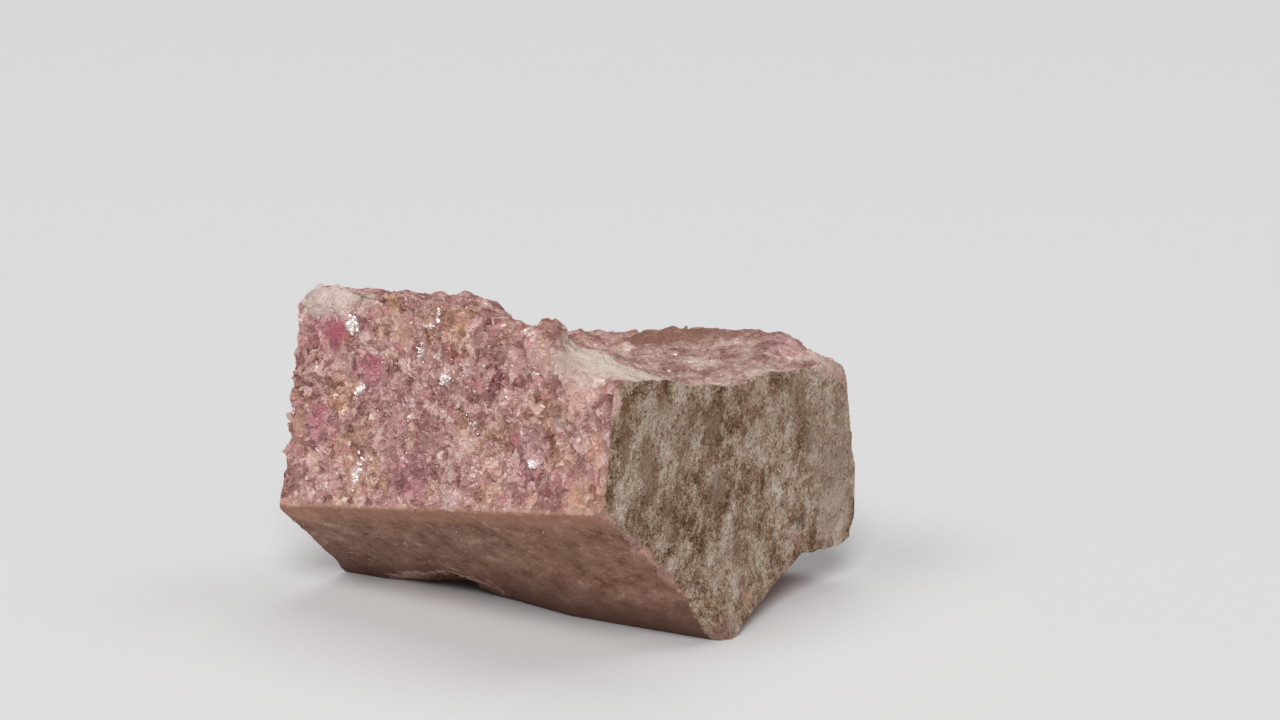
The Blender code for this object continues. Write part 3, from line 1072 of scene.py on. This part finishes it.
class Paints:
    """One material's node tree, with the patterns that the finishes share. Its sizes are in mm."""

    RIPPLE = 1.2  # width of the ripples in the outlines, and how far they move the grains'
    GRAIN = 0.34  # width of a sugary grain
    CRYSTAL = 1.3  # width of a larger crystal
    DUST = 0.2  # width of the finest speckle
    MIDDLE_TONE = 0.47
    PROUD_TONE = 0.08  # how much paler the grains that stand out are

    def __init__(self, name: str) -> None:
        """Starts a material and its coordinates in mm.

        Args:
            name: the material's name.
        """
        self.material = bpy.data.materials.new(name)
        self.material.use_nodes = True
        self.tree = self.material.node_tree
        self.shader = self.tree.nodes["Principled BSDF"]
        self.place = self.add("ShaderNodeAttribute", {}, attribute_name="seat").outputs["Vector"]
        self.proud = self.add("ShaderNodeAttribute", {}, attribute_name="proud").outputs["Fac"]
        self.ripple = self.vector("SUBTRACT", self.cloud(self.RIPPLE, 4.0, 0.65, "Color"), (0.5,) * 3)
        self.warped = self.vector("MULTIPLY_ADD", self.ripple, (self.RIPPLE,) * 3, self.place)
        self.grains = self.add("ShaderNodeTexVoronoi", {0: self.warped, "Scale": 1 / self.GRAIN})
        self.crystals = self.add("ShaderNodeTexVoronoi", {0: self.warped, "Scale": 1 / self.CRYSTAL})
        self.dust = self.cloud(self.DUST, 1.0, 0.6)
        self.grain_dice = self.add("ShaderNodeSeparateColor", {0: self.grains.outputs["Color"]})
        self.crystal_dice = self.add("ShaderNodeSeparateColor", {0: self.crystals.outputs["Color"]})

    def add(
        self, kind: str, inputs: dict[int | str, object], stops: tuple = (), **settings: object
    ) -> bpy.types.Node:
        """Adds a node with its settings and links.

        Args:
            kind: Blender's name for the node.
            inputs: a value or a socket for each input, by its name or number.
            stops: for a colour ramp, its positions and sRGB hex colours.
            settings: the node's properties.

        Returns:
            The node.
        """
        node = self.tree.nodes.new(kind)
        for name, value in settings.items():
            setattr(node, name, value)
        for key, value in inputs.items():
            if isinstance(value, Socket):
                self.tree.links.new(value, node.inputs[key])
            else:
                node.inputs[key].default_value = value
        for number, (position, colour) in enumerate(stops):
            knots = node.color_ramp.elements
            knot = knots[number] if number < 2 else knots.new(position)
            knot.position, knot.color = position, linear(colour)
        return node

    def cloud(self, width: float, detail: float, roughness: float, output: str = "Fac") -> Socket:
        """Cloudy noise all through the stone.

        Args:
            width: of its largest patches, in mm.
            detail: how many finer sizes are laid over them.
            roughness: how strong each is against the one above it.
            output: "Fac" for a value, or "Color" for three at once.

        Returns:
            The noise's socket.
        """
        inputs = {0: self.place, "Scale": 1 / width, "Detail": detail, "Roughness": roughness}
        return self.add("ShaderNodeTexNoise", inputs).outputs[output]

    def vector(self, operation: str, *terms: Socket | tuple) -> Socket:
        """The vector that one of Blender's vector operations gives."""
        node = self.add("ShaderNodeVectorMath", dict(enumerate(terms)), operation=operation)
        return node.outputs["Vector"]

    def sum(self, *terms: tuple[Socket, float], start: float = 0.0) -> Socket:
        """A weighted sum of sockets.

        Args:
            terms: each socket with its weight.
            start: the constant term.

        Returns:
            The sum's socket.
        """
        total: Socket | float = start
        for socket, weight in terms:
            total = self.add(
                "ShaderNodeMath", {0: socket, 1: weight, 2: total}, operation="MULTIPLY_ADD"
            ).outputs[0]
        return total

    def between(self, value: Socket, low: float, high: float, to: tuple[float, float] = (0.0, 1.0)) -> Socket:
        """A smooth step from one value to another as a socket goes from low to high.

        Args:
            value: the socket.
            low: where the step starts.
            high: where it ends.
            to: the values before and after it.

        Returns:
            The step's socket.
        """
        return self.add(
            "ShaderNodeMapRange",
            {"Value": value, "From Min": low, "From Max": high, "To Min": to[0], "To Max": to[1]},
            interpolation_type="SMOOTHSTEP",
        ).outputs["Result"]

    def most(self, first: Socket, second: Socket) -> Socket:
        """The larger of two values."""
        return self.add("ShaderNodeMath", {0: first, 1: second}, operation="MAXIMUM").outputs[0]

    def both(self, first: Socket, second: Socket) -> Socket:
        """The product of two masks."""
        return self.add("ShaderNodeMath", {0: first, 1: second}, operation="MULTIPLY").outputs[0]

    def over(self, under: Socket, top: Socket | tuple, amount: Socket | float, blend: str = "MIX") -> Socket:
        """A colour laid over another by an amount."""
        mix = {0: amount, 6: under, 7: top}
        return self.add("ShaderNodeMix", mix, data_type="RGBA", blend_type=blend).outputs[2]

    def tinted(
        self, under: Socket, colour: str, mask: Socket, strength: float, blend: str = "MIX"
    ) -> Socket:
        """One plain colour laid over another.

        Args:
            under: the colour below.
            colour: sRGB hex of the one above.
            mask: where it lies, from 0 to 1.
            strength: how far it covers there.
            blend: Blender's name for the way it covers.

        Returns:
            The colour's socket.
        """
        return self.over(under, linear(colour), self.sum((mask, strength)), blend)

    def grained(self, finish: Grained) -> Socket:
        """The colour of a granular finish.

        Args:
            finish: its sizes and colours.

        Returns:
            The colour's socket.
        """
        turned = self.add(
            "ShaderNodeMapping",
            {
                0: self.place,
                "Location": finish.shift,
                "Rotation": tuple(math.radians(a) for a in finish.turn),
            },
            vector_type="TEXTURE",
        ).outputs[0]
        shaped = self.add(
            "ShaderNodeMapping",
            {0: turned, "Scale": tuple(1.0 / (finish.patch * s) for s in finish.stretch)},
        ).outputs[0]
        patches = self.add(
            "ShaderNodeTexNoise",
            {0: shaped, "Scale": 1.0, "Detail": 5.0, "Roughness": finish.fineness, "Distortion": 0.25},
        ).outputs["Fac"]
        lowest = self.MIDDLE_TONE - finish.contrast - 0.5 * finish.grain - 0.5 * finish.crystal - finish.dust
        tone = self.sum(
            (patches, 2.0 * finish.contrast),
            (self.grain_dice.outputs["Red"], finish.grain),
            (self.crystal_dice.outputs["Red"], finish.crystal),
            (self.dust, 2.0 * finish.dust),
            (self.proud, self.PROUD_TONE),
            start=lowest,
        )
        return self.add("ShaderNodeValToRGB", {0: tone}, stops=finish.stops).outputs["Color"]

    def rind_of(self, facet: Facet, thin: float, thick: float) -> Socket:
        """1 within a ragged rind behind a facet's plane, and 0 deeper.

        Args:
            facet: the flat side.
            thin: depth at which the rind starts to fade, in mm.
            thick: depth at which it has gone.

        Returns:
            The mask's socket.
        """
        height = self.add(
            "ShaderNodeVectorMath", {0: self.warped, 1: tuple(facet.normal)}, operation="DOT_PRODUCT"
        ).outputs["Value"]
        return self.between(height, facet.offset - thick, facet.offset - thin)

    def near(self, centre: Place, radius: float, tall: float = 1.0, ragged: float = 1.0) -> Socket:
        """1 round a place on the surface, and 0 away from it, with a ragged outline.

        Args:
            centre: the place, in mm.
            radius: half the patch's width, in mm.
            tall: its height against its width.
            ragged: how uneven its outline is.

        Returns:
            The mask's socket.
        """
        stray = 2.6 * ragged * min(radius, 1.8)  # how far the outline wanders, in mm
        edge = self.vector("MULTIPLY_ADD", self.ripple, (stray,) * 3, self.place)
        shaped = self.add("ShaderNodeMapping", {0: edge, "Scale": (1.0, 1.0, 1.0 / tall)}).outputs[0]
        middle = (centre[0], centre[1], centre[2] / tall)
        away = self.add("ShaderNodeVectorMath", {0: shaped, 1: middle}, operation="DISTANCE").outputs["Value"]
        full, gone = 0.65 * radius, 1.25 * radius
        return self.between(away, full, gone, (1.0, 0.0))


@dataclass(frozen=True)
class Wash:
    """A band of one colour along the edge of a flat side: a stain, and on the lip partly a painted highlight.

    Attributes:
        colour: sRGB hex.
        strength: how far it covers.
        thin: depth behind the side's plane at which it starts to fade, in mm.
        thick: depth at which it has gone.
    """

    colour: str
    strength: float
    thin: float
    thick: float


@dataclass
class RockFinish:
    """The stone's material: fresh breaks, old joints, crust and single crystals. Sizes are in mm.

    Attributes:
        stain_width: width of the patches that iron has stained.
        scattered: single crystals: their mineral, the die that picks them, the least throw that
            does, and how far they take its colour.
        lip: a peach stain and a painted edge highlight on the fresh breaks above the undercut.
        rim: where the joint face meets the undercut.
        rim_grains: how far the pale grains in the rim take the lip's colour.
        band: at the top of the undercut.
        foot_shade_colour: of the painted contact shade at the undercut's foot.
        foot_shade_top: the height at which the painted shade ends.
        blush: colour and strength of the pale patch in the top corner.
        pit_spacing: from pit to pit on the joint face.
        pit_size: half a pit's width.
        pit_gaps: the share of the places on that spacing that have no pit.
    """

    stain_width: float = 8.0
    scattered: tuple[tuple[Mineral, str, float, float], ...] = (
        (Mineral.DARK_RED, "Green", 0.90, 0.55),
        (Mineral.ROSE, "Blue", 0.84, 0.45),
        (Mineral.CREAM, "Blue", 0.95, 0.55),
    )
    # peach stain and painted edge highlight along the edge above the undercut
    lip: Wash = Wash("D2A48E", 0.6, 0.3, 0.9)
    rim: Wash = Wash("A37D6E", 0.6, 1.6, 2.6)
    rim_grains: float = 0.7
    band: Wash = Wash("C48F78", 0.55, 1.4, 3.2)
    # painted contact shade: the undercut is darkened towards its foot, next to the floor
    foot_shade_colour: str = "694A3D"
    foot_shade_top: float = 9.5
    blush: tuple[str, float] = ("F6DCD6", 0.5)
    pit_spacing: float = 1.0
    pit_size: float = 0.19
    pit_gaps: float = 0.45

    def build(self) -> bpy.types.Material:
        """Makes the material.

        Returns:
            The material, in which a surface's colour, gloss and fine relief are linked.
        """
        paints = Paints("pink_granular_rock")
        shader = paints.shader
        colour, pits, matte = self.colour(paints)
        paints.tree.links.new(colour, shader.inputs["Base Color"])
        rough = paints.sum((matte, 0.45), (paints.grain_dice.outputs["Blue"], 0.22), start=0.28)
        paints.tree.links.new(rough, shader.inputs["Roughness"])
        paints.tree.links.new(paints.sum((matte, -0.32), start=0.5), shader.inputs["Specular IOR Level"])
        paints.tree.links.new(self.relief(paints, pits), shader.inputs["Normal"])
        return paints.material

    @staticmethod
    def relief(paints: Paints, pits: Socket) -> Socket:
        """The grains' tilted faces and the fine bumps on them.

        Args:
            paints: the material's nodes.
            pits: where the pits are.

        Returns:
            The normal's socket.
        """
        bumps = paints.cloud(0.5, 3.0, 0.8)
        height = paints.sum(
            (paints.grains.outputs["Distance"], -0.14),
            (paints.grain_dice.outputs["Green"], 0.08),
            (paints.crystal_dice.outputs["Green"], 0.08),
            (bumps, 0.30),
            (pits, -0.15),
        )
        bump = paints.add("ShaderNodeBump", {"Strength": 0.8, "Distance": MM, "Height": height})
        lean = paints.vector("SUBTRACT", paints.grains.outputs["Color"], (0.5,) * 3)
        leaning = paints.vector("MULTIPLY_ADD", lean, (0.5,) * 3, bump.outputs["Normal"])
        return paints.vector("NORMALIZE", leaning)

    def colour(self, paints: Paints) -> tuple[Socket, Socket, Socket]:
        """The stone's colour all over.

        Args:
            paints: the material's nodes.

        Returns:
            The colour, where the pits are and where the stone is matte.
        """
        colour, powder = self.worn(paints, self.fresh(paints))
        peach = self.sheltered(paints)
        chip = paints.near((-16.0, 5.0, 0.5), 8.0, 0.35)
        under = paints.most(paints.rind_of(UNDERCUT, 0.2, 0.45), chip)
        colour = paints.over(colour, peach, under)
        grey, pits = self.weathered(paints)
        rind = paints.rind_of(JOINT_FACE, 0.22, 0.5)
        pitted = paints.both(pits, rind)
        matte = paints.most(paints.most(rind, under), powder)
        return paints.over(colour, grey, rind), pitted, matte

    def fresh(self, paints: Paints) -> Socket:
        """The fresh breaks: pink rock, its iron stain, its crystals, the bevel and the spots.

        Args:
            paints: the material's nodes.

        Returns:
            The colour's socket.
        """
        cloud = paints.cloud(self.stain_width, 5.0, 0.6)
        clean, stained = paints.grained(FRESH_BREAK), paints.grained(STAINED_BREAK)
        colour = paints.over(clean, stained, paints.between(cloud, 0.46, 0.66))
        for mineral, die, least, cover in self.scattered:
            chosen = paints.between(paints.crystal_dice.outputs[die], least, least + 0.02)
            colour = paints.tinted(colour, mineral.value, chosen, cover)
        colour = paints.over(colour, paints.grained(MAUVE_BREAK), paints.near((22.0, 10.0, 34.5), 24.0, 0.2))
        colour = paints.over(colour, paints.grained(PALE_BEVEL), paints.rind_of(CORNER_BEVEL, 0.3, 1.1))
        return self.spotted(paints, colour, PINK_SPOTS + TOP_SPOTS)

    def worn(self, paints: Paints, colour: Socket) -> tuple[Socket, Socket]:
        """The stained edges, with a painted highlight along the lip, and the powdery crust, laid over the
        breaks.

        Args:
            paints: the material's nodes.
            colour: the breaks' colour.

        Returns:
            The colour, and where the crust lies.
        """
        # peach stain and painted edge highlight along the lip
        lip = paints.rind_of(UNDERCUT, self.lip.thin, self.lip.thick)
        colour = paints.tinted(colour, self.lip.colour, lip, self.lip.strength)
        ends = [paints.rind_of(side, self.rim.thin, self.rim.thick) for side in (JOINT_FACE, UNDERCUT)]
        rim = paints.both(*ends)
        colour = paints.tinted(colour, self.rim.colour, rim, self.rim.strength)
        pale = paints.both(rim, paints.between(paints.crystal_dice.outputs["Green"], 0.80, 0.84))
        colour = paints.tinted(colour, self.lip.colour, pale, self.rim_grains)
        powders = [paints.sum((paints.near(place, radius), thick)) for place, radius, thick in CRUST_SPOTS]
        flecks = paints.between(paints.crystal_dice.outputs["Blue"], 0.16, 0.20, (0.55, 1.0))
        powder = paints.both(reduce(paints.most, powders), flecks)
        colour = paints.over(colour, paints.grained(PALE_CRUST), powder)
        patch = paints.near((-33.0, 6.0, 44.2), 4.2)
        tone, strength = self.blush
        return paints.tinted(colour, tone, patch, strength), powder

    def sheltered(self, paints: Paints) -> Socket:
        """The smooth undercut, darkened towards its foot by painted contact shade.

        Args:
            paints: the material's nodes.

        Returns:
            The colour's socket.
        """
        colour = self.spotted(paints, paints.grained(PEACH_RIND), UNDERCUT_SPOTS)
        height = paints.add("ShaderNodeSeparateXYZ", {0: paints.place}).outputs["Z"]
        band = paints.rind_of(PINK_FACE, self.band.thin, self.band.thick)
        colour = paints.tinted(colour, self.band.colour, band, self.band.strength)
        # painted contact shade, darker towards the floor
        foot_shade = paints.between(height, 0.5, self.foot_shade_top, (0.85, 0.0))
        return paints.over(colour, linear(self.foot_shade_colour), foot_shade)

    def weathered(self, paints: Paints) -> tuple[Socket, Socket]:
        """The grey joint face with its pits.

        Args:
            paints: the material's nodes.

        Returns:
            The colour, and where the pits are.
        """
        colour = self.spotted(paints, paints.grained(GREY_RIND), GREY_SPOTS)
        cells = paints.add("ShaderNodeTexVoronoi", {0: paints.warped, "Scale": 1 / self.pit_spacing})
        dice = paints.add("ShaderNodeSeparateColor", {0: cells.outputs["Color"]}).outputs["Red"]
        close = self.pit_size / self.pit_spacing
        pits = paints.both(
            paints.between(cells.outputs["Distance"], 0.6 * close, 1.2 * close, (1.0, 0.0)),
            paints.between(dice, self.pit_gaps, self.pit_gaps + 0.05),
        )
        return paints.tinted(colour, Mineral.BLACK_BROWN.value, pits, 0.75), pits

    @staticmethod
    def spotted(paints: Paints, colour: Socket, spots: tuple[Spot, ...]) -> Socket:
        """A colour with spots laid over it in order.

        Args:
            paints: the material's nodes.
            colour: the colour below.
            spots: the spots.

        Returns:
            The colour's socket.
        """
        for spot in spots:
            mask = paints.near(spot.centre, spot.radius, spot.tall, spot.ragged)
            blend = "COLOR" if spot.veil else "MIX"
            colour = paints.tinted(colour, spot.mineral.value, mask, spot.strength, blend)
        return colour


# ---- the studio


@dataclass(frozen=True)
class Softbox:
    """A far, large lamp. Azimuth 0 stands at the front and 90 at the right, in degrees.

    share is its part of the floor's brightness.
    """

    name: str
    azimuth: float
    elevation: float
    width: float
    share: float


@dataclass
class Studio:
    """A pale floor, soft lamps round about, and the camera. Sizes are in mm.

    Attributes:
        floor_side: length of the floor's sides.
        lamp_distance: from the stone to each lamp.
        brightness: the floor's, as it is seen.
        floor_albedo: how much of its light the floor throws back.
        camera_at: the camera's place.
        camera_pitch: its tilt in degrees, 90 being level.
        lens: its focal length.
        sensor: its sensor's width.
        air_share: the air's part of the floor's brightness.
        lamps: the lamps.
    """

    floor_side: float = 8000.0
    lamp_distance: float = 9000.0
    brightness: float = 0.748
    floor_albedo: float = 0.80
    camera_at: Place = (9.94, -399.96, 143.2)
    camera_pitch: float = 75.0
    lens: float = 85.0
    sensor: float = 36.0
    air_share: float = 0.17
    lamps: tuple[Softbox, ...] = (
        Softbox("front_softbox", 0.0, 43.0, 3900.0, 0.41),
        Softbox("back_softbox", 170.0, 70.0, 6000.0, 0.17),
        Softbox("right_softbox", 98.0, 55.0, 3900.0, 0.10),
        Softbox("left_softbox", -56.0, 50.0, 3900.0, 0.175),
    )

    def build(self) -> None:
        """Makes the floor, the lights and the camera."""
        self.lay_floor()
        for lamp in self.lamps:
            self.hang(lamp)
        world = bpy.data.worlds.new("studio_air")
        world.use_nodes = True
        air = world.node_tree.nodes["Background"]
        air.inputs["Color"].default_value = (1.0, 1.0, 1.0, 1.0)
        air.inputs["Strength"].default_value = self.air_share * self.brightness / self.floor_albedo
        bpy.context.scene.world = world
        camera = bpy.data.objects.new("camera", bpy.data.cameras.new("camera"))
        bpy.context.scene.collection.objects.link(camera)
        camera.data.lens, camera.data.sensor_width = self.lens, self.sensor
        camera.data.clip_start, camera.data.clip_end = 0.01, 20.0
        camera.location = Vector(self.camera_at) * MM
        camera.rotation_euler = (math.radians(self.camera_pitch), 0.0, 0.0)
        bpy.context.scene.camera = camera
        bpy.context.scene.view_settings.view_transform = "Standard"

    def lay_floor(self) -> None:
        """Makes the floor."""
        bpy.ops.object.select_all(action="DESELECT")
        bpy.ops.mesh.primitive_plane_add(size=self.floor_side * MM)
        floor = bpy.context.object
        floor.name = "floor"
        paper = bpy.data.materials.new("matte_white_paper")
        paper.use_nodes = True
        shader = paper.node_tree.nodes["Principled BSDF"]
        shader.inputs["Base Color"].default_value = (self.floor_albedo,) * 3 + (1.0,)
        shader.inputs["Roughness"].default_value = 0.9
        shader.inputs["Specular IOR Level"].default_value = 0.1
        floor.data.materials.append(paper)

    def hang(self, lamp: Softbox) -> None:
        """Hangs one lamp, with the power that gives its share on the floor.

        Args:
            lamp: the lamp.
        """
        towards = direction(lamp.azimuth, lamp.elevation)
        data = bpy.data.lights.new(lamp.name, "AREA")
        data.shape, data.size = "DISK", lamp.width * MM
        reach = self.lamp_distance * MM
        floor_light = lamp.share * self.brightness / self.floor_albedo
        data.energy = floor_light * math.pi**2 * reach**2 / towards[2]
        holder = bpy.data.objects.new(lamp.name, data)
        bpy.context.scene.collection.objects.link(holder)
        holder.location = Vector(towards) * reach
        holder.rotation_euler = Vector(towards).to_track_quat("Z", "Y").to_euler()


def main() -> None:
    """Builds the specimen and its studio in order."""
    logging.basicConfig(level=logging.INFO)
    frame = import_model()
    skin = RockSkin().build(frame["nodes"][NODE])
    skin.data.materials.clear()
    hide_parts(NODE)
    finish = RockFinish().build()
    flakes = CleavageFlakes()
    surface = surface_of(skin)
    pieces = [(skin, finish), *((crystals.build(skin, surface), finish) for crystals in CRYSTALS)]
    for piece, material in [*pieces, (flakes.build(surface), flakes.finish())]:
        piece.data.materials.append(material)
        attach(piece, "root")
        LOG.info("%s: %d triangles", piece.name, len(piece.data.polygons))
    Studio().build()


if __name__ == "__main__":
    main()
